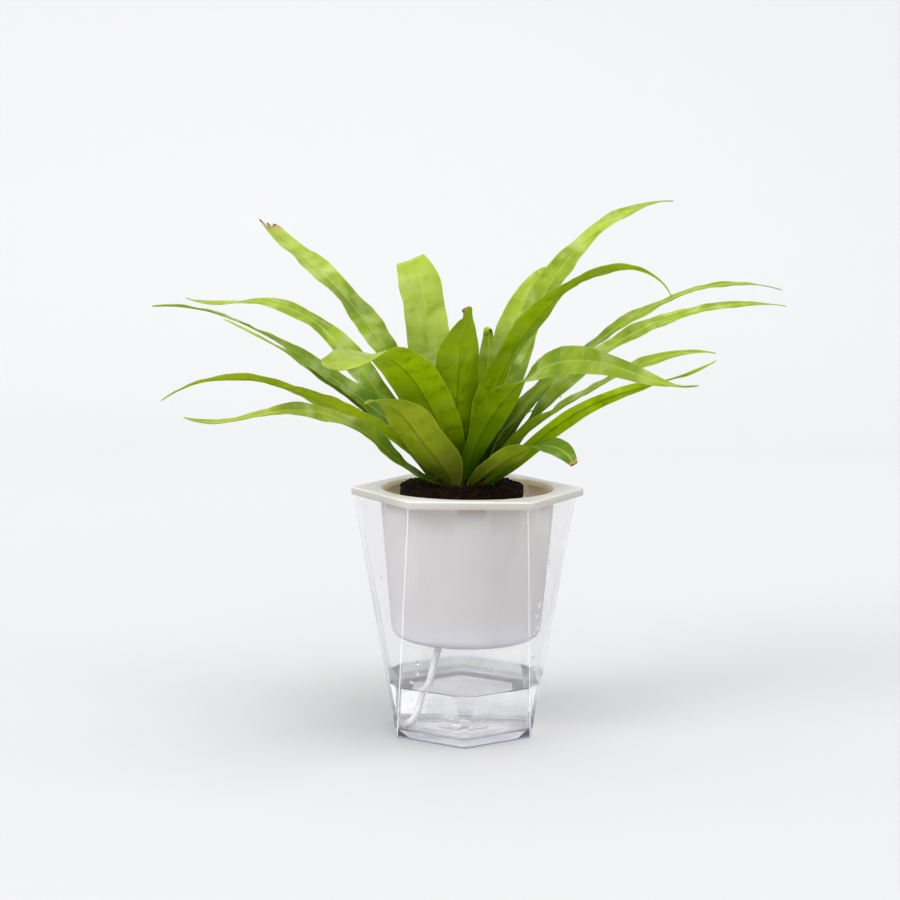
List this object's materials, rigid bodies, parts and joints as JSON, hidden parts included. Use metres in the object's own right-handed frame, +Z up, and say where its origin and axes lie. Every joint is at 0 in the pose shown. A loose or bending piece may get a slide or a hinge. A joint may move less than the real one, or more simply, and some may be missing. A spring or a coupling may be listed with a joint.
{
  "type": "potted birds nest fern",
  "caption": "Young bird's-nest fern with wavy strap-shaped fronds, in an ivory inner pot hung in a clear faceted planter, with a cotton wick standing in its water.",
  "frame": {"origin": "middle of the outer vessel's flat underside", "axes": "+Z up, -Y towards the front of the picture, +X to the right as seen from the front"},
  "size_m": [0.3818, 0.3189, 0.3218],
  "materials": {
    "clear_plastic": "clear, polished",
    "water": "clear liquid",
    "ivory_plastic": "satin",
    "cotton": "braided",
    "peat": "crumbly",
    "rhizome": "scaly",
    "leaf": "glossy"
  },
  "bodies": {
    "root": {"outer_vessel": "clear_plastic", "water": "water", "inner_pot": "ivory_plastic", "wick": "cotton", "root_ball": "peat", "crown": "rhizome", "frond_left_1": "leaf", "frond_left_2": "leaf", "frond_left_3": "leaf", "frond_left_4": "leaf", "frond_left_5": "leaf", "frond_left_6": "leaf", "frond_arching_left": "leaf", "frond_upright": "leaf", "frond_middle": "leaf", "frond_young": "leaf", "frond_right_1": "leaf", "frond_right_2": "leaf", "frond_right_3": "leaf", "frond_right_4": "leaf", "frond_right_5": "leaf", "frond_right_6": "leaf", "frond_right_7": "leaf", "frond_right_8": "leaf", "frond_right_9": "leaf", "frond_front_right": "leaf", "frond_front_left": "leaf", "frond_back_1": "leaf", "frond_back_2": "leaf", "frond_back_3": "leaf", "frond_back_4": "leaf", "frond_back_5": "leaf", "frond_back_6": "leaf", "frond_back_7": "leaf"}
  },
  "joints": []
}
